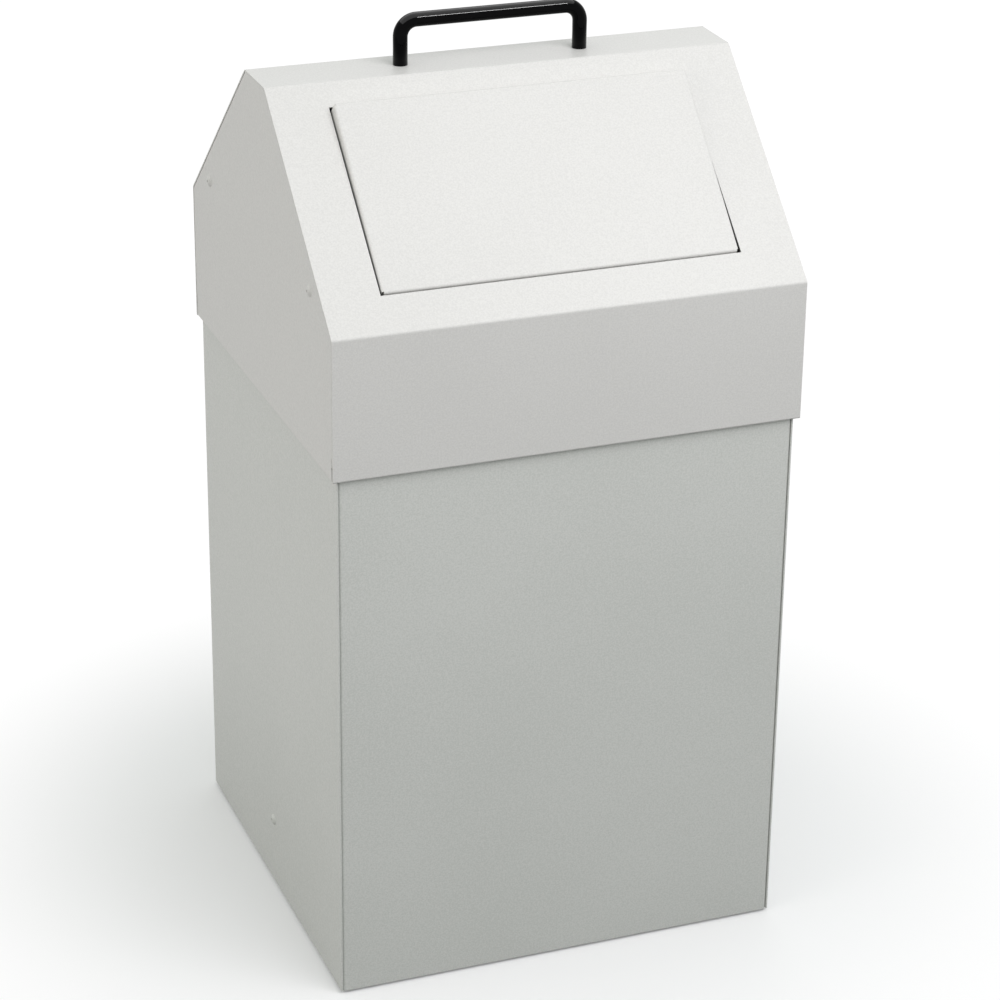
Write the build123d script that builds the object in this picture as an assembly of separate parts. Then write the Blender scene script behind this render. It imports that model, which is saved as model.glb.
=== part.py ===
from build123d import *
import os
from math import atan2, cos, degrees, radians, sin

# Sheet-steel recycling bin: an open square body and a gabled lift-off hood
# with a sprung push flap in its front slope and a bow handle on its ridge.
# Millimetres, +Z up, front towards -Y, origin on the floor under the centre.

# Overall size
WIDTH = 330.0
DEPTH = 320.0
HEIGHT = 645.0

# Sheet and its folds
SHEET = 1.0
FOLD = 2.5
HEM_DEPTH = 2.8
HEM_LEG = 9.0
HEM_FOLD = 1.39
FLANGE = 12.0
GABLE_FOLD = 1.4
BEND_RELIEF = 3.0
HEM_RELIEF = 1.5
HEM_GAP = 0.6

# Hood outline
HOOD_BOTTOM = 387.0
KNEE = 485.0
RIDGE = 610.0
RIDGE_HALF = 22.0

# Body, which stands inside the hood's skirt
OVERHANG = 3.5
BODY_BOTTOM = 2.0
RIM = 478.0
RETURN = 15.0
RETURN_START = 66.0
RIM_HEM_END = 18.0
BODY_X = WIDTH / 2 - OVERHANG
BODY_Y = DEPTH / 2 - OVERHANG

# Floor pan and feet
PAN_BOTTOM = 3.0
PAN_TOP = 64.0
PAN_RIVET_Z = 53.0
FOOT_X = 130.0
FOOT_Y = 125.0
FOOT_RADIUS = 11.0
FOOT_NECK = 4.0

FOOT_TAPER = 1.5
FOOT_BARB = 1.2
FOOT_BARB_HEIGHT = 4.0

# Rivets
RIVET_HOLE = 2.1
RIVET_SHANK = 2.0
RIVET_HEAD = 4.2
RIVET_DOME = 1.7
RIVET_TAIL = 2.9
RIVET_PULL = 0.9

# Rails that carry the hood on the rim
RAIL_SHEET = 1.5
RAIL_LEG = 20.0
RAIL_TOP = 510.0
RAIL_HALF = 122.0
RAIL_GAP = 0.3
RAIL_RIVET_Y = 115.0
RAIL_RIVET_Z = 503.0

# Bag frame of round wire on four hooks
WIRE = 3.0
WIRE_X = 148.0
WIRE_Y = 144.0
WIRE_Z = 465.0
WIRE_CORNER = 24.0
HOOK_X = 90.0
HOOK_WIDTH = 22.0
HOOK_SHEET = 1.2
HOOK_FOLD = 0.8
HOOK_REACH = 18.0

# Mouth in the front slope, measured up the slope from the knee
MOUTH_HALF = 125.5
MOUTH_LOW = 27.5
MOUTH_HIGH = 167.0

# Flap, which stands proud of the slope, a little below and more above
FLAP_SIDE_GAP = 1.2
FLAP_LOW_GAP = 1.0
FLAP_HIGH_GAP = 1.0
FLAP_HALF = MOUTH_HALF - FLAP_SIDE_GAP
FLAP_LENGTH = MOUTH_HIGH - MOUTH_LOW - FLAP_LOW_GAP - FLAP_HIGH_GAP
FLAP_PROUD_LOW = 0.5
FLAP_PROUD_HIGH = 7.0
FLAP_FOLD = 1.8
FLAP_DEPTH = 15.8
FLAP_LIP = 9.0
FLAP_LIP_FOLD = 0.5
FLAP_CORNER = 1.5
BUMPER_X = 95.0
BUMPER_RADIUS = 3.4
BUMPER_HEIGHT = 1.4
BUMPER_GAP = 0.1
BUMPER_EDGE = 0.4
BUMPER_ROUND = 0.8
FLAP_STEP = FLAP_PROUD_LOW + SHEET + BUMPER_GAP + BUMPER_HEIGHT + SHEET

# Hinge of the flap
HINGE_UP = 157.0
HINGE_IN = -7.0
ROD = 2.5
ROD_HALF = 133.5
ROD_CHAMFER = 0.4
LOBE = 6.0
FLAP_OPEN = 60.0
EAR_X = 127.0
EAR_SHEET = 1.5
EAR_HALF = 10.5
EAR_RADIUS = 8.0
BUSH = 4.0
BUSH_COLLAR = 5.4
BUSH_GAP = 0.05
BUSH_TAIL = 1.8
CLIP = 4.3
CLIP_SHEET = 0.8
CLIP_SLIT = 0.7
CLIP_SLIT_LENGTH = 1.2
STOP_DISTANCE = 24.0
STOP_HALF = 4.0
STOP_REACH = 12.0
STOP_GAP = 0.3

# Return springs
SPRING_WIRE = 0.6
SPRING_RADIUS = 3.9
SPRING_PITCH = 1.7
SPRING_TURNS = 6
SPRING_X = 108.0
SPRING_ARM = 30.0
SPRING_HEEL = 25.0
SPRING_ARM_TURN = -12.2
SPRING_HEEL_TURN = -124.0

# Bow handle
HANDLE_HOLE = 64.0
HANDLE_ROD = 5.0
HANDLE_CORNER = 11.0
SCREW = 2.5
SCREW_CLEARANCE = 0.3
SCREW_DEPTH = 12.0
SCREW_HEAD = 4.75
SCREW_HEAD_HEIGHT = 2.8
SOCKET = 1.6
WASHER = 5.5
WASHER_HEIGHT = 1.0

# The front slope
SLOPE_RUN = DEPTH / 2 - RIDGE_HALF
SLOPE_RISE = RIDGE - KNEE
SLOPE_ANGLE = degrees(atan2(SLOPE_RISE, SLOPE_RUN))
FRONT_KNEE = Vector(0, -DEPTH / 2, KNEE)
ACROSS = Vector(1, 0, 0)


def slope_up(lean=0.0):
    """Unit vector up the front slope, turned inward at its top by lean degrees."""
    angle = radians(SLOPE_ANGLE - lean)
    return Vector(0, cos(angle), sin(angle))


def slope_point(up, out):
    """The point this far up the slope and out of it, on the middle line."""
    return FRONT_KNEE + slope_up() * up + slope_up(-90) * out


# Section planes: local x runs up the slope and local y out of it
SLOPE_SECTION = Plane(FRONT_KNEE, x_dir=slope_up(), z_dir=ACROSS)
SLOPE_FACE = Plane(FRONT_KNEE, x_dir=ACROSS, z_dir=slope_up(-90))
FLAP_LOW = MOUTH_LOW + FLAP_LOW_GAP
FLAP_LEAN = -degrees(atan2(FLAP_PROUD_HIGH - FLAP_PROUD_LOW, FLAP_LENGTH))
FLAP_ORIGIN = slope_point(FLAP_LOW, FLAP_PROUD_LOW)
FLAP_SECTION = Plane(FLAP_ORIGIN, x_dir=slope_up(FLAP_LEAN), z_dir=ACROSS)
FLAP_FACE = Plane(FLAP_ORIGIN, x_dir=ACROSS, z_dir=slope_up(FLAP_LEAN - 90))
HINGE = slope_point(HINGE_UP, HINGE_IN)
HINGE_SECTION = Plane(HINGE, x_dir=slope_up(), z_dir=ACROSS)
HINGE_ON_FLAP = FLAP_SECTION.to_local_coords(HINGE)


def fold(plane, path, radii, half_width, thickness=SHEET, side=Side.RIGHT):
    """Sheet whose outer face follows the path, folded round the radii, drawn out both ways."""
    with BuildPart() as sheet:
        with BuildSketch(plane):
            with BuildLine():
                FilletPolyline(*path, radius=radii)
                offset(amount=thickness, side=side)
            make_face()
        extrude(amount=half_width, both=True)
    return sheet.part


def box(low, high):
    """A box between two corners."""
    size = [b - a for a, b in zip(low, high)]
    return Pos(*low) * Box(*size, align=(Align.MIN, Align.MIN, Align.MIN))


def mirrored(part):
    """The same piece for the other side of the bin."""
    return part.mirror(Plane.YZ)


def both_sides(part):
    """The solids of a piece and of its mirror image."""
    return [*part.solids(), *mirrored(part).solids()]


def blind_rivet(grip):
    """Domed blind rivet along +Z, its head on z 0 and its grip below."""
    with BuildPart() as rivet:
        with BuildSketch(Plane.XZ):
            with BuildLine():
                Line((0, 0), (RIVET_HEAD, 0))
                ThreePointArc((RIVET_HEAD, 0), (RIVET_HEAD * 0.72, RIVET_DOME * 0.66), (0, RIVET_DOME))
                Line((0, RIVET_DOME), (0, 0))
            make_face()
        revolve(axis=Axis.Z)
        with Locations((0, 0, -grip / 2)):
            Cylinder(RIVET_SHANK, grip)
        with Locations((0, 0, -grip - RIVET_TAIL / 2)):
            Cylinder(RIVET_TAIL, RIVET_TAIL)
        with Locations((0, 0, RIVET_DOME)):
            Cylinder(RIVET_PULL, RIVET_DOME, mode=Mode.SUBTRACT)
    return rivet.part


def rim_hem(wall):
    """Rolled top edge of a body wall that stands at this distance from the centre."""
    path = [
        (-wall, RIM - RIM_HEM_END),
        (-wall, RIM),
        (-wall + HEM_DEPTH, RIM),
        (-wall + HEM_DEPTH, RIM - HEM_LEG),
    ]
    return path, [HEM_FOLD, HEM_FOLD]


# Body

def front_panel():
    """Front wall: side edges returned inside the side walls, top edge rolled inward."""
    inner = BODY_X - SHEET
    path = [
        (-inner, -BODY_Y + RETURN),
        (-inner, -BODY_Y),
        (inner, -BODY_Y),
        (inner, -BODY_Y + RETURN),
    ]
    wall_top = RIM - RIM_HEM_END
    middle = (BODY_BOTTOM + wall_top) / 2
    wall = fold(Plane.XY.offset(middle), path, FOLD, (wall_top - BODY_BOTTOM) / 2, side=Side.LEFT)
    returns = box((-inner, -BODY_Y + FOLD, 0), (inner, 0, RETURN_START))
    hem_path, hem_radii = rim_hem(BODY_Y)
    hem = fold(Plane.YZ, hem_path, hem_radii, inner - FOLD)
    hem_end = box((inner - RIM_HEM_END, -BODY_Y + SHEET, 0), (inner, 0, RIM))
    return wall - returns + (hem - both_sides(hem_end))


def left_panel():
    """Side wall: a flat sheet with a rolled top edge and the floor pan's rivet hole."""
    wall = box((-BODY_X, -BODY_Y, BODY_BOTTOM), (-BODY_X + SHEET, BODY_Y, RIM - RIM_HEM_END))
    hem_path, hem_radii = rim_hem(BODY_X)
    hem = fold(Plane.XZ, hem_path, hem_radii, BODY_Y)
    for end in (-1, 1):
        past = end * BODY_Y
        stop = end * (BODY_Y - RIM_HEM_END)
        low = (-BODY_X + SHEET, min(past, stop), 0)
        hem -= box(low, (0, max(past, stop), RIM))
    hole = Pos(-BODY_X, 0, PAN_RIVET_Z) * Rot(0, 90, 0) * Cylinder(RIVET_HOLE, 3 * SHEET)
    return wall + hem - hole


def floor_pan():
    """Floor folded up on four sides, with holes for its rivets and its feet."""
    side_x = BODY_X - SHEET
    side_y = BODY_Y - SHEET
    pan = Part()
    for plane, reach, along in ((Plane.XZ, side_x, side_y), (Plane.YZ, side_y, side_x)):
        path = [(-reach, PAN_TOP), (-reach, PAN_BOTTOM), (reach, PAN_BOTTOM), (reach, PAN_TOP)]
        pan += fold(plane, path, FOLD, along - FOLD, side=Side.LEFT)
    holes = [
        Pos(0, 0, PAN_RIVET_Z) * Rot(0, 90, 0) * Cylinder(RIVET_HOLE, 2 * WIDTH)
    ]
    for x in (-FOOT_X, FOOT_X):
        for y in (-FOOT_Y, FOOT_Y):
            holes.append(Pos(x, y, PAN_BOTTOM) * Cylinder(FOOT_NECK, 4 * SHEET))
    return pan - holes


def floor_rivets():
    """One rivet through each side wall into the floor pan."""
    left = Pos(-BODY_X, 0, PAN_RIVET_Z) * Rot(0, -90, 0) * blind_rivet(2 * SHEET)
    return Compound(both_sides(left))


def rubber_foot():
    """Push-in foot: a tapered pad under the pan and a barb through its hole."""
    barb_low = PAN_BOTTOM + SHEET
    barb_high = barb_low + FOOT_BARB_HEIGHT
    outline = [
        (0, 0), (FOOT_RADIUS - FOOT_TAPER, 0), (FOOT_RADIUS, FOOT_TAPER), (FOOT_RADIUS, PAN_BOTTOM),
        (FOOT_NECK, PAN_BOTTOM), (FOOT_NECK, barb_low), (FOOT_NECK + FOOT_BARB, barb_low),
        (FOOT_NECK - FOOT_BARB, barb_high), (0, barb_high),
    ]
    with BuildPart() as foot:
        with BuildSketch(Plane.XZ):
            with BuildLine():
                Polyline(*outline, close=True)
            make_face()
        revolve(axis=Axis.Z)
    return foot.part


def rubber_feet():
    """Four feet, near the corners of the floor pan."""
    places = [Pos(x, y, 0) for x in (-FOOT_X, FOOT_X) for y in (-FOOT_Y, FOOT_Y)]
    return Compound([place * rubber_foot().solid() for place in places])


def bag_frame():
    """Closed ring of round wire that the mouth of the bag is folded over."""
    path = (Pos(0, 0, WIRE_Z) * RectangleRounded(2 * WIRE_X, 2 * WIRE_Y, WIRE_CORNER)).wire()
    section = Plane(path @ 0, z_dir=path % 0) * Circle(WIRE)
    return sweep(section, path=path)


def bag_frame_hooks():
    """Four hooks on the front and back walls that the bag frame lies in."""
    wall = -BODY_Y + SHEET
    seat = WIRE_Z - WIRE
    path = [
        (wall, seat - HOOK_REACH),
        (wall, seat),
        (wall + HOOK_REACH, seat),
        (wall + HOOK_REACH, seat + HOOK_SHEET + WIRE),
    ]
    radii = [HOOK_SHEET + HOOK_FOLD, HOOK_FOLD]
    hook = fold(Plane.YZ, path, radii, HOOK_WIDTH / 2, HOOK_SHEET)
    return Compound([
        (Pos(x, 0, 0) * Rot(0, 0, turn) * hook).solid()
        for x in (-HOOK_X, HOOK_X) for turn in (0, 180)
    ])


# Hood

def hood_outline(inset=0.0):
    """Corners of the hood seen from the side, moved inward by the inset."""
    slack = inset * (1 - cos(radians(SLOPE_ANGLE))) / sin(radians(SLOPE_ANGLE))
    drop = inset * (1 - sin(radians(SLOPE_ANGLE))) / cos(radians(SLOPE_ANGLE))
    half = DEPTH / 2 - inset
    ridge = RIDGE_HALF - slack
    return [
        (-half, HOOD_BOTTOM), (-half, KNEE - drop), (-ridge, RIDGE - inset),
        (ridge, RIDGE - inset), (half, KNEE - drop), (half, HOOD_BOTTOM),
    ]


def hood_wrap():
    """One sheet over the hood: skirt, slope, ridge, slope and skirt, hemmed at both ends."""
    hem_y = DEPTH / 2 - HEM_DEPTH
    hem_z = HOOD_BOTTOM + HEM_LEG
    outline = hood_outline()
    path = [(-hem_y, hem_z), (-hem_y, HOOD_BOTTOM), *outline, (hem_y, HOOD_BOTTOM), (hem_y, hem_z)]
    radii = [HEM_FOLD] * 2 + [FOLD] * 4 + [HEM_FOLD] * 2
    wrap = fold(Plane.YZ, path, radii, WIDTH / 2)
    wrap -= mouth_hole()
    for x in (-HANDLE_HOLE, HANDLE_HOLE):
        wrap -= Pos(x, 0, RIDGE) * Cylinder(SCREW + SCREW_CLEARANCE, 4 * SHEET)
    return wrap


def mouth_hole():
    """The mouth, a plain cut in the front slope that the flap fills."""
    middle = SLOPE_FACE * Pos(0, (MOUTH_LOW + MOUTH_HIGH) / 2, 0)
    return middle * Box(2 * MOUTH_HALF, MOUTH_HIGH - MOUTH_LOW, 6 * SHEET)


def gable_block(start, inset, edge):
    """Solid gable shape from this far inside its face, rounded by the edge radius."""
    low = HOOD_BOTTOM + 1
    with BuildPart() as block:
        with BuildSketch(Plane.YZ.offset(start - WIDTH / 2)):
            outline = Polygon(*hood_outline(inset), align=None)
            fillet(outline.vertices().sort_by(Axis.Z)[2:], FOLD - inset)
        extrude(amount=FLANGE)
        face = block.faces().sort_by(Axis.X)[0]
        fillet([side for side in face.edges() if side.center().Z > low], edge)
    return block.part


def left_gable():
    """Gable end: edges flanged inward under the wrap, lower edge hemmed."""
    outer = gable_block(0, SHEET, GABLE_FOLD)
    inner = gable_block(SHEET, 2 * SHEET, GABLE_FOLD - SHEET)
    part = outer - inner - flange_reliefs() - skirt_relief()
    hem_path = [
        (-WIDTH / 2, HOOD_BOTTOM + 2 * HEM_LEG),
        (-WIDTH / 2, HOOD_BOTTOM),
        (-WIDTH / 2 + HEM_DEPTH, HOOD_BOTTOM),
        (-WIDTH / 2 + HEM_DEPTH, HOOD_BOTTOM + HEM_LEG),
    ]
    hem_half = DEPTH / 2 - HEM_DEPTH - HEM_GAP
    part += fold(Plane.XZ, hem_path, HEM_FOLD, hem_half, side=Side.LEFT)
    for y in (-RAIL_RIVET_Y, RAIL_RIVET_Y):
        part -= Pos(-WIDTH / 2, y, RAIL_RIVET_Z) * Rot(0, 90, 0) * Cylinder(RIVET_HOLE, 4 * SHEET)
    return part


def flange_reliefs():
    """Notches that part the gable's flanges at the four bends of the wrap."""
    start = -WIDTH / 2 + 2.5 * SHEET
    return [
        box((start, y - BEND_RELIEF, z - BEND_RELIEF), (0, y + BEND_RELIEF, z + BEND_RELIEF))
        for y, z in hood_outline(SHEET)[1:-1]
    ]


def skirt_relief():
    """Clears the gable's flanges and lower edge from the wrap's hems."""
    top = HOOD_BOTTOM + HEM_LEG + HEM_RELIEF
    flanges = box((-WIDTH / 2 + SHEET, -DEPTH, 0), (0, DEPTH, top))
    edge = box((-WIDTH, -DEPTH, 0), (0, DEPTH, HOOD_BOTTOM + 2 * HEM_LEG - SHEET))
    keep = box((-WIDTH, -DEPTH / 2 + HEM_DEPTH, 0), (0, DEPTH / 2 - HEM_DEPTH, HEIGHT))
    return [flanges, box((-WIDTH, -DEPTH, 0), (0, DEPTH, top)) - keep, edge & keep]


def left_support_rail():
    """Angle inside the gable, whose lower leg rests on the body's rim."""
    wall = WIDTH / 2 - SHEET
    low = RIM + RAIL_GAP
    path = [(-wall, RAIL_TOP), (-wall, low), (-wall + RAIL_LEG, low)]
    rail = fold(Plane.XZ, path, FOLD, RAIL_HALF, RAIL_SHEET, Side.LEFT)
    for y in (-RAIL_RIVET_Y, RAIL_RIVET_Y):
        rail -= Pos(-wall, y, RAIL_RIVET_Z) * Rot(0, 90, 0) * Cylinder(RIVET_HOLE, 5 * SHEET)
    return rail


def rail_rivets():
    """Two rivets through each gable into its rail."""
    rivet = Rot(0, -90, 0) * blind_rivet(SHEET + RAIL_SHEET)
    left = [Pos(-WIDTH / 2, y, RAIL_RIVET_Z) * rivet for y in (-RAIL_RIVET_Y, RAIL_RIVET_Y)]
    return Compound([solid for rivet in left for solid in both_sides(rivet)])


def carry_handle():
    """Bow of round bar with a tapped hole up each leg."""
    rise = HEIGHT - HANDLE_ROD
    with BuildPart() as bow:
        with BuildLine(Plane.XZ) as path:
            FilletPolyline(
                (-HANDLE_HOLE, RIDGE), (-HANDLE_HOLE, rise), (HANDLE_HOLE, rise), (HANDLE_HOLE, RIDGE),
                radius=HANDLE_CORNER,
            )
        with BuildSketch(Plane(path.line @ 0, z_dir=path.line % 0)):
            Circle(HANDLE_ROD)
        sweep()
    part = bow.part
    for x in (-HANDLE_HOLE, HANDLE_HOLE):
        part -= Pos(x, 0, RIDGE) * Cylinder(SCREW, 2 * (SCREW_DEPTH + 1))
    return part


def handle_screws():
    """Socket-head screws up through the ridge into the handle's legs."""
    seat = RIDGE - SHEET - WASHER_HEIGHT
    up = (Align.CENTER, Align.CENTER, Align.MIN)
    down = (Align.CENTER, Align.CENTER, Align.MAX)
    screws = []
    for x in (-HANDLE_HOLE, HANDLE_HOLE):
        shank = Pos(x, 0, seat) * Cylinder(SCREW, RIDGE - seat + SCREW_DEPTH, align=up)
        head = Pos(x, 0, seat) * Cylinder(SCREW_HEAD, SCREW_HEAD_HEIGHT, align=down)
        head = fillet(head.edges().group_by(Axis.Z)[0], SCREW_HEAD_HEIGHT / 2)
        socket = extrude(Pos(x, 0, seat - SCREW_HEAD_HEIGHT) * RegularPolygon(SOCKET, 6), SOCKET)
        screws.append((shank + head - socket).solid())
    return Compound(screws)


def handle_washers():
    """A plain washer under each screw head."""
    low = RIDGE - SHEET - WASHER_HEIGHT / 2
    ring = Cylinder(WASHER, WASHER_HEIGHT) - Cylinder(SCREW, WASHER_HEIGHT)
    return Compound([(Pos(x, 0, low) * ring).solid() for x in (-HANDLE_HOLE, HANDLE_HOLE)])


# Hinge

def stop_centre():
    """Where the opened flap's flange comes to rest, up the slope and out from the hinge."""
    turn = radians(FLAP_OPEN - FLAP_LEAN)
    edge = HINGE_ON_FLAP.Y + FLAP_DEPTH
    away = edge + STOP_GAP + EAR_SHEET / 2
    return (
        -STOP_DISTANCE * cos(turn) + away * sin(turn),
        -STOP_DISTANCE * sin(turn) - away * cos(turn),
    )


def left_pivot_bracket():
    """Welded foot behind the slope, an ear for the rod and a stop lug bent from the ear."""
    stop = stop_centre()
    foot_end = EAR_X + 2 * EAR_HALF
    skin = -SHEET - HINGE_IN
    bend_plane = Plane(HINGE, x_dir=-ACROSS, z_dir=slope_up())
    path = [(foot_end, skin), (EAR_X, skin), (EAR_X, skin - 2 * FOLD)]
    foot = fold(bend_plane, path, 2.0, EAR_HALF, EAR_SHEET, Side.LEFT)
    with BuildPart() as ear:
        with BuildSketch(HINGE_SECTION.offset(-EAR_X - EAR_SHEET)):
            with BuildSketch(mode=Mode.PRIVATE) as ends:
                Circle(EAR_RADIUS)
                with Locations(stop):
                    Circle(STOP_HALF + SHEET)
            make_hull(ends.sketch.edges())
            with Locations((0, skin)):
                Rectangle(6 * EAR_HALF, 2 * FOLD, mode=Mode.SUBTRACT, align=(Align.CENTER, Align.CENTER))
        extrude(amount=EAR_SHEET)
        with BuildSketch(HINGE_SECTION.offset(-EAR_X - SHEET)):
            with Locations(Location((*stop, 0), (0, 0, FLAP_OPEN - FLAP_LEAN))):
                Rectangle(2 * STOP_HALF, EAR_SHEET)
        extrude(amount=STOP_REACH)
    hole = HINGE_SECTION.offset(-EAR_X) * Cylinder(BUSH, 4 * EAR_SHEET)
    return foot + ear.part - hole


def pivot_bushes():
    """Collared plastic bushes that the rod turns in, one in each ear."""
    collar = EAR_X - MOUTH_HALF
    tube = EAR_SHEET + BUSH_TAIL
    with BuildPart() as bush:
        with Locations(HINGE_SECTION.offset(-EAR_X + collar / 2)):
            Cylinder(BUSH_COLLAR, collar)
        with Locations(HINGE_SECTION.offset(-EAR_X - tube / 2)):
            Cylinder(BUSH, tube)
        with Locations(HINGE_SECTION.offset(-EAR_X)):
            Cylinder(ROD + BUSH_GAP, 6 * tube, mode=Mode.SUBTRACT)
    return Compound(both_sides(bush.part))


def left_return_spring():
    """Torsion spring on the rod: one arm under the flap, a heel against the stop lug."""
    turns = SPRING_TURNS + (SPRING_ARM_TURN - SPRING_HEEL_TURN) / 360
    length = SPRING_PITCH * turns
    with BuildPart() as spring:
        with BuildLine() as path:
            coil = Helix(SPRING_PITCH, length, SPRING_RADIUS)
            Line(coil @ 0 - (coil % 0) * SPRING_HEEL, coil @ 0)
            Line(coil @ 1, coil @ 1 + (coil % 1) * SPRING_ARM)
        wire = path.wires()[0]
        with BuildSketch(Plane(wire @ 0, z_dir=wire % 0)):
            Circle(SPRING_WIRE)
        sweep(path=wire, is_frenet=True)
    outer_end = HINGE - ACROSS * (SPRING_X + length)
    return Plane(outer_end, x_dir=slope_up(-90 - SPRING_HEEL_TURN), z_dir=ACROSS) * spring.part


# Flap

def flap_panel():
    """Push flap: a shallow pan with open corners, and a stop lip below its lower flange."""
    with BuildPart() as pan:
        Box(2 * FLAP_HALF, FLAP_LENGTH, FLAP_DEPTH, align=(Align.CENTER, Align.MIN, Align.MAX))
        fillet(pan.faces().sort_by(Axis.Z)[-1].edges(), FLAP_FOLD)
        offset(amount=-SHEET, openings=pan.faces().sort_by(Axis.Z)[0])
        for x in (-FLAP_HALF, FLAP_HALF):
            for y in (0, FLAP_LENGTH):
                with Locations((x, y, 0)):
                    Box(2 * FLAP_CORNER, 2 * FLAP_CORNER, 2 * FLAP_DEPTH, mode=Mode.SUBTRACT)
    lip_half = FLAP_HALF - FLAP_CORNER
    lip_top = -FLAP_FOLD
    lower_flange = box((-lip_half, -SHEET, -2 * FLAP_DEPTH), (lip_half, 3 * SHEET, lip_top))
    path = [(0, lip_top), (0, -FLAP_STEP + SHEET), (-FLAP_LIP, -FLAP_STEP + SHEET)]
    lip = fold(FLAP_SECTION, path, FLAP_LIP_FOLD, lip_half, side=Side.LEFT)
    lobe = HINGE_SECTION.offset(-FLAP_HALF + SHEET / 2) * Cylinder(LOBE, SHEET)
    part = FLAP_FACE * (pan.part - lower_flange) + lip + both_sides(lobe)
    return part - HINGE_SECTION * Cylinder(ROD, WIDTH)


def flap_bumpers():
    """Rubber dots on the flap's lip, which close against the back of the slope."""
    floor = -FLAP_STEP + SHEET + BUMPER_HEIGHT / 2
    dot = Cylinder(BUMPER_RADIUS, BUMPER_HEIGHT)
    dot = fillet(dot.edges().group_by(Axis.Z)[-1], BUMPER_ROUND)
    place = Plane(
        FLAP_ORIGIN - slope_up(FLAP_LEAN) * (FLAP_LIP - BUMPER_RADIUS - BUMPER_EDGE)
        + slope_up(FLAP_LEAN - 90) * floor - ACROSS * BUMPER_X,
        z_dir=slope_up(FLAP_LEAN - 90),
    )
    return Compound(both_sides(place * dot))


def hinge_rod():
    """Round rod through both flanges of the flap, chamfered at its ends."""
    rod = Cylinder(ROD, 2 * ROD_HALF)
    rod = chamfer(rod.edges(), ROD_CHAMFER)
    return HINGE_SECTION * rod


def rod_clips():
    """Push-on clip at each end of the rod, slit where it springs over it."""
    clip = Cylinder(CLIP, CLIP_SHEET) - Cylinder(ROD, CLIP_SHEET)
    slit = Box(2 * CLIP_SLIT_LENGTH, CLIP_SLIT, CLIP_SHEET)
    for turn in (0, 120, 240):
        clip -= Rot(0, 0, turn) * Pos(ROD, 0, 0) * slit
    place = HINGE_SECTION.offset(-EAR_X - EAR_SHEET - BUSH_TAIL - CLIP_SHEET)
    return Compound(both_sides(place * clip))


def main():
    """Builds every piece and writes one STEP file for each."""
    front = front_panel()
    left = left_panel()
    gable = left_gable()
    rail = left_support_rail()
    bracket = left_pivot_bracket()
    spring = left_return_spring()
    pieces = {
        "front_panel": front,
        "back_panel": front.rotate(Axis.Z, 180),
        "left_panel": left,
        "right_panel": mirrored(left),
        "floor_pan": floor_pan(),
        "floor_rivets": floor_rivets(),
        "rubber_feet": rubber_feet(),
        "bag_frame": bag_frame(),
        "bag_frame_hooks": bag_frame_hooks(),
        "hood_wrap": hood_wrap(),
        "left_gable": gable,
        "right_gable": mirrored(gable),
        "left_support_rail": rail,
        "right_support_rail": mirrored(rail),
        "rail_rivets": rail_rivets(),
        "carry_handle": carry_handle(),
        "handle_screws": handle_screws(),
        "handle_washers": handle_washers(),
        "left_pivot_bracket": bracket,
        "right_pivot_bracket": mirrored(bracket),
        "pivot_bushes": pivot_bushes(),
        "left_return_spring": spring,
        "right_return_spring": mirrored(spring),
        "flap_panel": flap_panel(),
        "flap_bumpers": flap_bumpers(),
        "hinge_rod": hinge_rod(),
        "rod_clips": rod_clips(),
    }
    os.makedirs("parts", exist_ok=True)
    for name, piece in pieces.items():
        export_step(piece, f"parts/{name}.step")
    print("hinge at", tuple(round(value, 4) for value in HINGE))


main()
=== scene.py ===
# %% [markdown]
# # Dressing a sheet-steel recycling bin
#
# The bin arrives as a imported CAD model: every wall, flange, rivet and spring is already
# a solid in its right place. This lesson gives it finishes, light and a camera. Three
# pieces are made again in Blender: the bow handle, whose sharp reflections need a smooth
# skin, and the two return springs, whose arms have to swing with the flap.
#
# The first cell loads that model as a fixed frame.

import math

import bmesh
import bpy
from mathutils import Matrix, Vector


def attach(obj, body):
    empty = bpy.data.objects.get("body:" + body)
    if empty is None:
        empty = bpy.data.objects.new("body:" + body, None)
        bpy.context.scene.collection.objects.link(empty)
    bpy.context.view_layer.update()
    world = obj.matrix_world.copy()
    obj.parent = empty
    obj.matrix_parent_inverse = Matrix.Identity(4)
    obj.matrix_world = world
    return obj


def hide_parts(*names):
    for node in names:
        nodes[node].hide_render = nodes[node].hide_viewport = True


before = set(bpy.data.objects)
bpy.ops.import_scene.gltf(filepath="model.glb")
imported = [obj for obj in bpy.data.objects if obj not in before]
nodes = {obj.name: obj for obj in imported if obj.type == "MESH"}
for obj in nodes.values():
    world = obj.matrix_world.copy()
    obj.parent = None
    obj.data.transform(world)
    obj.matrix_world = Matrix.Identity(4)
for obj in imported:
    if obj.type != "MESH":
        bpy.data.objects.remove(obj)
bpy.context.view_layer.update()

# %% [markdown]
# ## The camera
#
# A camera can be placed by eye, but straight sheet-metal edges allow better: their corners
# in the picture fix the viewpoint. The bin is seen from its front left and from above with
# a long lens. The numbers below are that viewpoint, measured from a point a little above
# the bin's middle: how far round the bin the camera stands, how high and how far away,
# and its slight tilt. A small shift also raises the bin in the picture without turning
# the camera. With more of it, the handle would leave the picture at the top.

# %% Place the camera
BEARING = math.radians(-21.02)
HEIGHT_ANGLE = math.radians(23.981)
TILT = math.radians(0.727)
AIM = Vector((0, 0, 0.35))
ASIDE, BELOW, AWAY = 0.00938, -0.04585, 2.22855
LENS = 113.992
SENSOR_WIDTH = 36
PICTURE_SHIFT = -0.0215

camera_data = bpy.data.cameras.new("camera")
camera_data.sensor_width = SENSOR_WIDTH
camera_data.lens = LENS
camera_data.shift_y = PICTURE_SHIFT
camera = bpy.data.objects.new("camera", camera_data)
bpy.context.scene.collection.objects.link(camera)
bpy.context.scene.camera = camera

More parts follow.
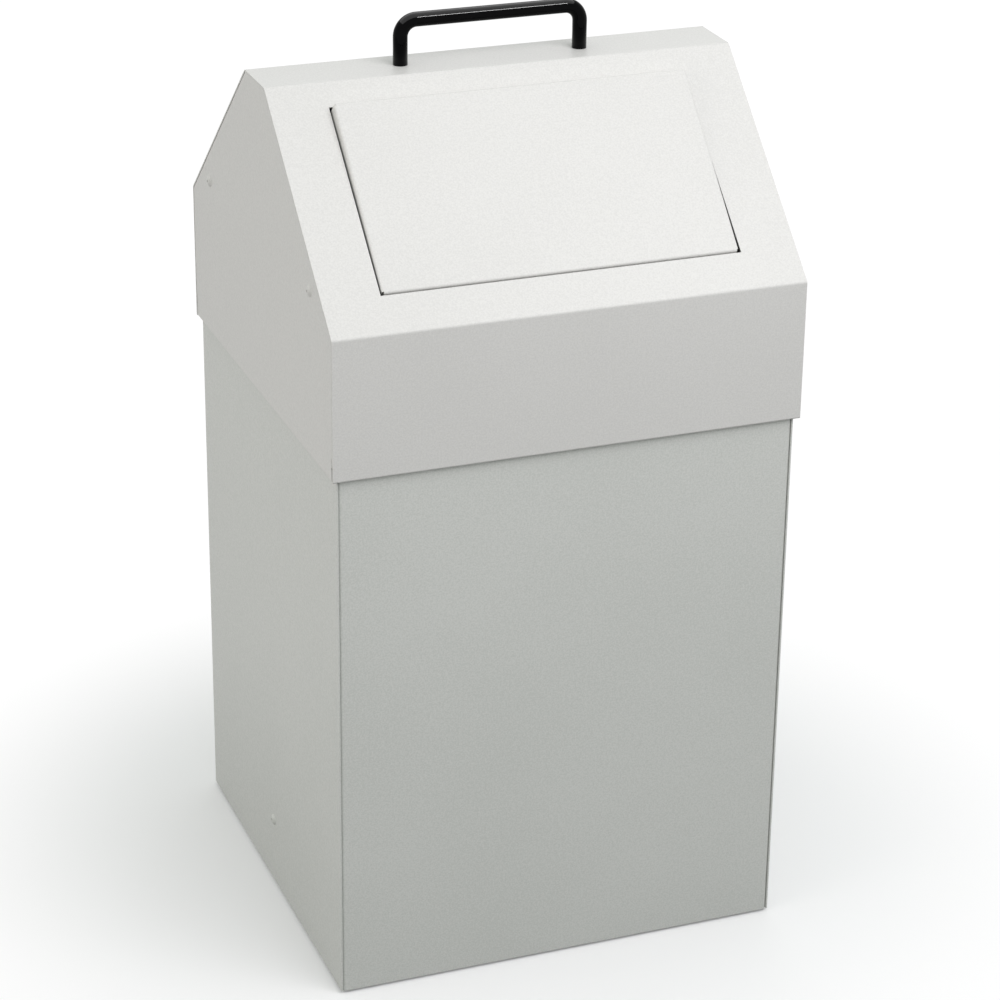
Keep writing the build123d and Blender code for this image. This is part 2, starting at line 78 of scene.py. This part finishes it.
back = Vector((
    math.sin(BEARING) * math.cos(HEIGHT_ANGLE),
    -math.cos(BEARING) * math.cos(HEIGHT_ANGLE),
    math.sin(HEIGHT_ANGLE),
))
right = Vector((math.cos(BEARING), math.sin(BEARING), 0))
up = back.cross(right)
across = right * math.cos(TILT) + up * math.sin(TILT)
upward = up * math.cos(TILT) - right * math.sin(TILT)
stand = AIM + across * ASIDE + upward * BELOW + back * AWAY
turned = Matrix((across, upward, back)).transposed().to_4x4()
camera.matrix_world = Matrix.Translation(stand) @ turned
print("the camera stands at", [round(value, 3) for value in stand])

# %% [markdown]
# ## A small language for finishes
#
# Paint, rubber and plated steel are told apart by small things: the ripple in the paint,
# the grain, the way dirt and handling change the gloss. Such patterns are sums and
# products of noise. They could be wired up node by node, but a formula is easier to read,
# so the class below wraps a socket and turns Python's operators into Math nodes.

# %% Wrap a socket
class Mask:
    """One socket of a node tree, which Python's operators combine through Math nodes."""

    def __init__(self, wiring, socket):
        self.wiring = wiring
        self.socket = socket

    def join(self, operation, first, second):
        return self.wiring.node("ShaderNodeMath", {"operation": operation}, {0: first, 1: second})

    def __add__(self, other):
        return self.join("ADD", self, other)

    def __sub__(self, other):
        return self.join("SUBTRACT", self, other)

    def __rsub__(self, other):
        return self.join("SUBTRACT", other, self)

    def __mul__(self, other):
        return self.join("MULTIPLY", self, other)

    __radd__ = __add__
    __rmul__ = __mul__


print("masks can be added, subtracted and multiplied")

# %% [markdown]
# ## One way to make a node
#
# All other nodes come from one method, which sets a node up before it links it. Colours
# go through a Mix node, because a Math node would turn them grey. The backdrop is a node
# tree too, so the class knows nothing of materials. It also makes the mask that tells
# what is looked at from what only throws light, which the floor and the backdrop share.

# %% Wire up a node tree
MIX_MASK, MIX_FIRST, MIX_SECOND, MIX_RESULT = 0, 6, 7, 2  # a Mix node's sockets for colours


class Wiring:
    """A node tree, whose nodes are each made by one call of node()."""

    def __init__(self, tree):
        self.tree = tree

    def node(self, kind, settings=None, sockets=None, out=0):
        """Adds a node: settings first, then the values or links of its sockets."""
        made = self.tree.nodes.new(kind)
        for key, value in (settings or {}).items():
            setattr(made, key, value)
        for key, value in (sockets or {}).items():
            self.feed(made.inputs[key], value)
        return Mask(self, made.outputs[out])

    def feed(self, socket, value):
        """Sets a socket, or links it if the value comes from a node."""
        if isinstance(value, Mask):
            self.tree.links.new(value.socket, socket)
        else:
            socket.default_value = value

    def mix(self, mask, first, second):
        """A colour that goes from the first to the second as the mask goes from 0 to 1."""
        colours = {MIX_MASK: mask, MIX_FIRST: first, MIX_SECOND: second}
        return self.node("ShaderNodeMix", {"data_type": "RGBA"}, colours, out=MIX_RESULT)

    def looked_at(self):
        """Is 1 for what the camera or a reflection sees, and 0 for light that bounces."""
        seen = self.node("ShaderNodeLightPath", out="Is Camera Ray")
        reflected = self.node("ShaderNodeLightPath", out="Is Glossy Ray")
        return self.node("ShaderNodeMath", {"operation": "MAXIMUM"}, {0: seen, 1: reflected})


print("a Mix node takes its colours at sockets", MIX_FIRST, "and", MIX_SECOND)

# %% [markdown]
# ## A finish
#
# A finish is a material with one Principled shader. Its patterns are placed by Object
# coordinates, which stay with a piece when it moves, and are sized in metres.

# %% Wrap a finish
class Finish(Wiring):
    """A material, with the patterns that its formulas are made of."""

    def __init__(self, name):
        self.material = bpy.data.materials.new(name)
        self.material.use_nodes = True
        super().__init__(self.material.node_tree)
        self.shader = self.tree.nodes["Principled BSDF"]
        self.place = self.node("ShaderNodeTexCoord", out="Object")

    def shade(self, **sockets):
        """Feeds the shader, with underscores for the spaces in its sockets' names."""
        for key, value in sockets.items():
            self.feed(self.shader.inputs[key.replace("_", " ")], value)

    def noise(self, scale, detail=2.0, roughness=0.5, stretch=(1, 1, 1)):
        """Noise from 0 to 1 with this many lumps to the metre, stretched along an axis if asked."""
        spot = self.node("ShaderNodeMapping", {}, {"Vector": self.place, "Scale": stretch})
        return self.node("ShaderNodeTexNoise", {}, {
            "Vector": spot, "Scale": scale, "Detail": detail, "Roughness": roughness,
        })

    def between(self, value, low, high, first=0.0, last=1.0):
        """Carries a value from the range low to high over to first to last, smoothly."""
        return self.node("ShaderNodeMapRange", {"interpolation_type": "SMOOTHSTEP"}, {
            "Value": value, "From Min": low, "From Max": high, "To Min": first, "To Max": last,
        })

    def bump(self, height, depth, strength=1.0):
        """Surface ripple of this height pattern, this many metres deep."""
        return self.node("ShaderNodeBump", {}, {
            "Height": height, "Distance": depth, "Strength": strength,
        })


def plain(red, green, blue):
    """A colour for a socket, from the 0 to 255 values a colour picker shows."""
    def linear(value):
        """Undoes the sRGB curve, because sockets take the amount of light itself."""
        value /= 255
        return value / 12.92 if value < 0.04045 else ((value + 0.055) / 1.055) ** 2.4
    return (linear(red), linear(green), linear(blue), 1.0)


print("middle grey in a socket is", round(plain(128, 128, 128)[0], 3))

# %% [markdown]
# ## Powder coat
#
# The bin's steel is powder coated: dry powder is melted onto the sheet, and it sets with
# a faint ripple like the skin of an orange. Flat grey would look like plastic. So the
# colour drifts a little from place to place, a mottle of 2 mm and a finer grain break it
# up, and the ripple is a bump. The gloss follows the drift and the grain. Handling leaves
# the odd faint scuff, paler and duller than the rest.

# %% Make the powder coats
SCUFF_COLOUR = plain(236, 236, 234)
SCUFF_MOST = 0.5


def powder_coat(name, light, dark):
    """Light grey coat that drifts between two greys, with its ripple and a few scuffs."""
    coat = Finish(name)
    drift = coat.noise(6.5, detail=3.0)
    mottle = coat.noise(480, detail=2.0, roughness=0.5)
    grain = coat.noise(900, detail=1.0)
    ripple = coat.noise(330, detail=2.0, roughness=0.45)
    streak = coat.noise(60, detail=4.0, roughness=0.7, stretch=(0.35, 0.35, 2.2))
    scuff = coat.between(streak, 0.66, 0.76, 0.0, SCUFF_MOST)
    tone = coat.between(drift * 0.2 + mottle * 0.25 + grain * 0.55, 0.35, 0.65)
    colour = coat.mix(tone, dark, light)
    worn = coat.mix(scuff * 0.35, colour, SCUFF_COLOUR)
    coat.shade(
        Base_Color=worn,
        Roughness=drift * 0.08 + grain * 0.05 + 0.36 + scuff * 0.1,
        Normal=coat.bump(ripple, 0.00006, 0.6),
        IOR=1.5,
    )
    return coat.material


body_coat = powder_coat("powder_coat_body", plain(216, 217, 213), plain(203, 205, 200))
hood_coat = powder_coat("powder_coat_hood", plain(219, 218, 215), plain(210, 209, 206))
print("powder coats:", body_coat.name, hood_coat.name)

# %% [markdown]
# ## Black gloss enamel
#
# The bow handle is round bar under a thick black gloss enamel. Its reflections are sharp
# and make its shape, so the roughness is low, with a slow ripple and a film of dust that
# dulls it in patches. A real enamel has an IOR of 1.5. With that, the white studio that
# it mirrors would turn the black to grey, so the value here is far lower.

# %% Make the enamel
enamel = Finish("black_gloss_enamel")
dust = enamel.noise(140, detail=4.0, roughness=0.6)
film = enamel.between(dust, 0.45, 0.75)
enamel.shade(
    Base_Color=enamel.mix(film * 0.4, plain(2, 2, 3), plain(10, 10, 11)),
    Roughness=film * 0.05 + 0.05,
    Normal=enamel.bump(enamel.noise(120, detail=1.0), 0.00002, 0.3),
    IOR=1.15,
)
print("enamel:", enamel.material.name)

# %% [markdown]
# ## Plated steel, spring wire, rubber and plastic
#
# The small inner parts have finishes of their own. Zinc plate shows a cloudy spangle,
# spring wire the fine lines of its drawing die, rubber a dull grain with pale bloom, and
# the hinge's bushes are an off-white plastic with a waxy sheen.

# %% Make the small finishes
zinc = Finish("zinc_plate")
spangle = zinc.noise(260, detail=3.0, roughness=0.65)
zinc.shade(
    Base_Color=zinc.mix(spangle, plain(176, 179, 182), plain(214, 216, 216)),
    Metallic=1.0,
    Roughness=spangle * 0.22 + 0.24,
    Normal=zinc.bump(spangle, 0.00002, 0.5),
)

spring_steel = Finish("drawn_spring_steel")
lines = spring_steel.noise(900, detail=2.0, stretch=(1, 0.12, 0.12))
spring_steel.shade(
    Base_Color=spring_steel.mix(lines, plain(108, 110, 114), plain(168, 170, 172)),
    Metallic=1.0,
    Roughness=lines * 0.2 + 0.2,
    Normal=spring_steel.bump(lines, 0.00001, 0.5),
)

rubber = Finish("black_rubber")
bloom = rubber.noise(180, detail=4.0, roughness=0.6)
rubber.shade(
    Base_Color=rubber.mix(bloom, plain(24, 24, 25), plain(52, 52, 52)),
    Roughness=bloom * 0.15 + 0.68,
    Normal=rubber.bump(rubber.noise(1500, detail=1.0), 0.00005, 0.8),
)

acetal = Finish("bush_plastic")
cast = acetal.noise(300, detail=2.0)
acetal.shade(
    Base_Color=acetal.mix(cast, plain(214, 213, 205), plain(228, 227, 220)),
    Roughness=cast * 0.12 + 0.38,
    Normal=acetal.bump(cast, 0.00002, 0.4),
)
print("finishes:", len(bpy.data.materials))

# %% [markdown]
# ## Drawing out round bar
#
# The handle and the springs are all one thing: a round section drawn along a path of
# straight runs and bends. A curve object with a bevel could do it. Here a disc is drawn
# out in mesh steps instead, because each bend then has just the steps that it needs: a
# run is one extrusion, and a bend or a coil is one spin with a small push at each step.

# %% Make a bar that can be drawn out
class Bar:
    """A round bar in a mesh of its own, whose end disc is drawn out run by run."""

    def __init__(self, radius, sides, start, along):
        self.mesh = bmesh.new()
        turned = Vector(along).to_track_quat("Z", "Y").to_matrix().to_4x4()
        bmesh.ops.create_circle(
            self.mesh, cap_ends=True, radius=radius, segments=sides,
            matrix=Matrix.Translation(start) @ turned,
        )
        self.take(self.mesh.faces[:])
        self.along = Vector(along).normalized()

    def take(self, faces):
        """Takes a disc as the bar's end, with its rim, so that no disc stays behind inside."""
        self.end = [*faces, *faces[0].edges, *faces[0].verts]

    def run(self, length):
        """Draws the end straight on by this length."""
        drawn = bmesh.ops.extrude_face_region(self.mesh, geom=self.end)["geom"]
        self.take([part for part in drawn if isinstance(part, bmesh.types.BMFace)])
        rim = self.end[0].verts[:]
        bmesh.ops.translate(self.mesh, vec=self.along * length, verts=rim)

    def bend(self, centre, axis, angle, steps, rise=0.0):
        """Spins the end about an axis, and pushes it along that axis by the rise in all."""
        push = Vector(axis) * rise / steps
        spun = bmesh.ops.spin(
            self.mesh, geom=self.end, cent=centre, axis=axis, dvec=push,
            angle=angle, steps=steps, use_merge=False, use_duplicate=False,
        )["geom_last"]
        self.take([part for part in spun if isinstance(part, bmesh.types.BMFace)])
        self.along = Matrix.Rotation(angle, 3, axis) @ self.along

    def bore(self, disc, radius, depth):
        """Bores a blind hole into a disc at one of the bar's ends."""
        outer = disc.calc_perimeter() / (2 * math.pi)
        bmesh.ops.inset_region(self.mesh, faces=[disc], thickness=outer - radius)
        inward = -disc.normal * depth
        self.take([disc])
        drawn = bmesh.ops.extrude_face_region(self.mesh, geom=self.end)["geom"]
        self.take([part for part in drawn if isinstance(part, bmesh.types.BMFace)])
        bmesh.ops.translate(self.mesh, vec=inward, verts=self.end[0].verts[:])

    def finish(self, name, body, node, slot):
        """Makes the bar a smooth piece that rides on a body and stands for a CAD node."""
        bmesh.ops.recalc_face_normals(self.mesh, faces=self.mesh.faces[:])
        for face in self.mesh.faces:
            face.smooth = len(face.verts) == 4
        data = bpy.data.meshes.new(name)
        volume = self.mesh.calc_volume(signed=True)
        self.mesh.to_mesh(data)
        self.mesh.free()
        piece = bpy.data.objects.new(name, data)
        bpy.context.scene.collection.objects.link(piece)
        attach(piece, body)
        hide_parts(node)
        print(name, "volume", round(volume * 1e9), "mm3,", len(data.polygons), "faces")
        return piece


print("a bar can run on, bend, be bored and be finished")

# %% [markdown]
# ## The bow handle
#
# One length of 10 mm bar is bent twice and screwed to the ridge from below. The bar
# starts at the left foot, goes up, bends over, runs across, bends down and ends at the
# right foot, and each foot is bored for its screw.

# %% Make the bow handle
HANDLE_HALF = 0.064
RIDGE = 0.61
HANDLE_RADIUS = 0.005
HANDLE_CORNER = 0.011
HANDLE_RISE = 0.030
HANDLE_SIDES = 40
CORNER_STEPS = 16
SCREW_BORE = 0.0025
SCREW_DEPTH = 0.013
QUARTER_TURN = math.pi / 2
FRONT_TO_BACK = (0, 1, 0)

leg = HANDLE_RISE - HANDLE_CORNER
shoulder = RIDGE + HANDLE_RISE - HANDLE_CORNER
corner = HANDLE_HALF - HANDLE_CORNER
bow = Bar(HANDLE_RADIUS, HANDLE_SIDES, (-HANDLE_HALF, 0, RIDGE), (0, 0, 1))
bow.run(leg)
bow.bend((-corner, 0, shoulder), FRONT_TO_BACK, QUARTER_TURN, CORNER_STEPS)
bow.run(2 * corner)
bow.bend((corner, 0, shoulder), FRONT_TO_BACK, QUARTER_TURN, CORNER_STEPS)
bow.run(leg)
bmesh.ops.recalc_face_normals(bow.mesh, faces=bow.mesh.faces[:])
feet = [face for face in bow.mesh.faces if len(face.verts) == HANDLE_SIDES]
for foot in feet:
    bow.bore(foot, SCREW_BORE, SCREW_DEPTH)
handle = bow.finish("bow_handle", "hood", "carry_handle", "black_gloss")

# %% [markdown]
# ## The return springs
#
# Each spring is 1.2 mm wire wound round the hinge rod. Its heel leans on the bracket and
# its arm lies behind the flap and pushes it shut. When the flap opens, only the arm turns,
# and the coil winds up behind it. So the coil and heel ride with the hood, and the arm
# rides with the flap. The arm also has the piece of coil that is uncovered when it turns,
# a hair thinner than the coil, so at rest that piece is hidden inside. A real coil also
# grows a little tighter as it winds up, which is left out: it is under the hood.

# %% Make the springs
HINGE = Vector((0, -0.0389395, 0.5852115))
WIRE = 0.0006
HIDDEN_WIRE = WIRE * 0.97
COIL = 0.0039
PITCH = 0.0017
HEEL = 0.025
ARM = 0.030
COIL_END = 0.108
HEEL_ANGLE = math.radians(8.17)
COIL_ANGLE = math.radians(6 * 360 + 111.8)
COVERED = math.radians(66)
STEPS_PER_TURN = 30
WIRE_SIDES = 14
AXIS = Vector((1, 0, 0))


def set_spring(bar, turn, x, mirrored):
    """Turns a bar about the hinge's axis, moves it there, and mirrors it for the right side."""
    verts = bar.mesh.verts[:]
    bmesh.ops.rotate(bar.mesh, cent=(0, 0, 0), matrix=Matrix.Rotation(turn, 3, "X"), verts=verts)
    bmesh.ops.translate(bar.mesh, vec=HINGE + AXIS * x, verts=verts)
    if mirrored:
        bmesh.ops.scale(bar.mesh, vec=(-1, 1, 1), verts=verts)


def steps_in(angle):
    """How many straight pieces a bend of this angle is made of, at least two."""
    return max(2, round(angle / (2 * math.pi) * STEPS_PER_TURN))


coil_length = PITCH * COIL_ANGLE / (2 * math.pi)
covered_length = PITCH * COVERED / (2 * math.pi)
for side in ("left", "right"):
    spring = side + "_return_spring"
    mirrored = side == "right"
    coil = Bar(WIRE, WIRE_SIDES, (0, COIL, -HEEL), (0, 0, 1))
    coil.run(HEEL)
    coil.bend((0, 0, 0), AXIS, COIL_ANGLE, steps_in(COIL_ANGLE), coil_length)
    set_spring(coil, HEEL_ANGLE, -COIL_END - coil_length, mirrored)
    coil.finish(side + "_spring_coil", "hood", spring, "spring_steel")
    arm = Bar(HIDDEN_WIRE, WIRE_SIDES, (0, COIL, 0), (0, 0, 1))
    arm.bend((0, 0, 0), AXIS, COVERED, steps_in(COVERED), covered_length)
    arm.run(ARM)
    set_spring(arm, HEEL_ANGLE + COIL_ANGLE - COVERED, -COIL_END - covered_length, mirrored)
    arm.finish(side + "_spring_arm", "flap", spring, "spring_steel")

# %% [markdown]
# ## Dressing the pieces
#
# Each CAD piece keeps its mesh and only takes a finish, and so do the pieces made above.
# The table names them all by what they are made of.

# %% Assign the finishes
DRESS = {
    body_coat: ("front_panel", "back_panel", "left_panel", "right_panel", "floor_pan",
                "floor_rivets", "bag_frame_hooks"),
    hood_coat: ("hood_wrap", "left_gable", "right_gable", "flap_panel", "rail_rivets",
                "left_support_rail", "right_support_rail", "left_pivot_bracket",
                "right_pivot_bracket"),
    enamel.material: ("bow_handle",),
    zinc.material: ("bag_frame", "hinge_rod", "handle_screws", "handle_washers"),
    spring_steel.material: ("rod_clips", "left_spring_coil", "left_spring_arm",
                            "right_spring_coil", "right_spring_arm"),
    rubber.material: ("rubber_feet", "flap_bumpers"),
    acetal.material: ("pivot_bushes",),
}
for finish, names in DRESS.items():
    for name in names:
        piece = nodes[name] if name in nodes else bpy.data.objects[name]
        piece.data.materials.clear()
        piece.data.materials.append(finish)
print("dressed", sum(len(names) for names in DRESS.values()), "pieces")

# %% [markdown]
# ## The floor
#
# The bin stands on a pale floor in a white studio. A real white floor would throw so much
# light back up that the walls would brighten towards the ground, and the picture shows
# the reverse. So the floor is pale only where the camera or a reflection sees it, and a
# dark grey for the light that bounces off it. Close to the bin it is paint, which takes a
# shadow. Further out it glows white, so that its edge can't be told from the backdrop.

# %% Lay the floor
BLACK = (0, 0, 0, 1)
WHITE = (1, 1, 1, 1)
FLOOR_HALF = 6.0
SHADOW_END, WHITE_START = 0.22, 0.5
GLOW_AT_BIN = 0.15
FLOOR_PAINT = (0.9, 0.9, 0.9, 1)
FLOOR_BOUNCE = (0.16, 0.16, 0.16, 1)

floor_mesh = bmesh.new()
bmesh.ops.create_grid(floor_mesh, x_segments=1, y_segments=1, size=FLOOR_HALF)
floor_data = bpy.data.meshes.new("floor")
floor_mesh.to_mesh(floor_data)
floor_mesh.free()
floor = bpy.data.objects.new("floor", floor_data)
bpy.context.scene.collection.objects.link(floor)

ground = Finish("studio_floor")
shown = ground.looked_at()
distance = ground.node(
    "ShaderNodeVectorMath", {"operation": "LENGTH"}, {0: ground.place}, out="Value",
)
glow = ground.between(distance, SHADOW_END, WHITE_START, GLOW_AT_BIN, 1.0)
ground.shade(
    Base_Color=ground.mix(shown, FLOOR_BOUNCE, ground.mix(glow, FLOOR_PAINT, BLACK)),
    Emission_Color=ground.mix(shown * glow, BLACK, WHITE),
    Emission_Strength=1.0,
    Roughness=1.0,
)
floor_data.materials.append(ground.material)
print("the floor is", 2 * FLOOR_HALF, "m wide and all white from", WHITE_START, "m out")

# %% [markdown]
# ## The backdrop
#
# A studio's white backdrop could be a curved sheet behind the bin. The world does the
# same with no mesh, in every view. It is white where the camera or a reflection sees it,
# and a soft grey as a light. That grey and the lamps below were chosen together, so that
# each wall is about as bright as in the picture. The Standard view leaves greys alone.

# %% Hang the backdrop
STUDIO_GREY = (0.637, 0.668, 0.653, 1)

bpy.context.scene.view_settings.view_transform = "Standard"
world = bpy.data.worlds.new("studio")
bpy.context.scene.world = world
world.use_nodes = True
backdrop = Wiring(world.node_tree)
backdrop.feed(
    backdrop.tree.nodes["Background"].inputs["Color"],
    backdrop.mix(backdrop.looked_at(), STUDIO_GREY, WHITE),
)
print("backdrop:", world.name)

# %% [markdown]
# ## The softboxes
#
# One large lamp in front and above brightens the slope and fades down the front. Weaker
# ones light the left side and the back. Mirrored in the satin coat, they would burn out the
# ridge from behind, so they light the bin but no reflection shows them.

# %% Set the softboxes
NEUTRAL = (1.0, 1.0, 1.0)


def softbox(name, place, aim, size, watts, colour=NEUTRAL):
    """An area lamp at a place, turned to face its aim, which no picture or reflection shows."""
    data = bpy.data.lights.new(name, "AREA")
    data.shape = "RECTANGLE"
    data.size, data.size_y = size
    data.energy = watts
    data.color = colour
    lamp = bpy.data.objects.new(name, data)
    bpy.context.scene.collection.objects.link(lamp)
    lamp.location = place
    lamp.rotation_euler = (Vector(aim) - Vector(place)).to_track_quat("-Z", "Y").to_euler()
    lamp.visible_camera = False
    lamp.visible_glossy = False
    return lamp


softbox("key_softbox", place=(0.3, -0.85, 1.4), aim=(0, -0.09, 0.5), size=(1.0, 1.0),
        watts=10.4, colour=(0.985, 0.96, 1.0))
softbox("left_softbox", place=(-1.55, -0.3, 0.75), aim=(0, 0, 0.35), size=(1.2, 1.2),
        watts=5.6, colour=(1.0, 0.926, 0.886))
softbox("back_softbox", place=(0.5, 1.5, 0.32), aim=(0, 0, 0.32), size=(1.2, 0.5), watts=6.0)
print("softboxes:", [light.name for light in bpy.data.lights])

# %% [markdown]
# ## Lamps for the handle alone
#
# A black gloss bar shows its roundness only by what it mirrors. A narrow strip draws the
# bright line along it, and a wide ceiling lamp the grey band above that line. Each is seen
# in reflections and lights nothing else. Light linking keeps both to the handle, so the
# pale steel around it doesn't mirror them.

# %% Set the handle's lamps
glossy_bar = bpy.data.collections.new("glossy_bar")
glossy_bar.objects.link(handle)
strip = softbox("strip_light", place=(0.6, -1.2, 1.84), aim=(0, 0, 0.64), size=(0.36, 0.08),
                watts=26.0)
ceiling = softbox("ceiling_light", place=(0, 0.14, 1.44), aim=(0, 0.14, 0.64), size=(1.9, 1.9),
                  watts=80.0)
for lamp in (strip, ceiling):
    lamp.visible_glossy = True
    lamp.visible_diffuse = False
    lamp.light_linking.receiver_collection = glossy_bar
print("linked to the handle:", strip.name, "and", ceiling.name)
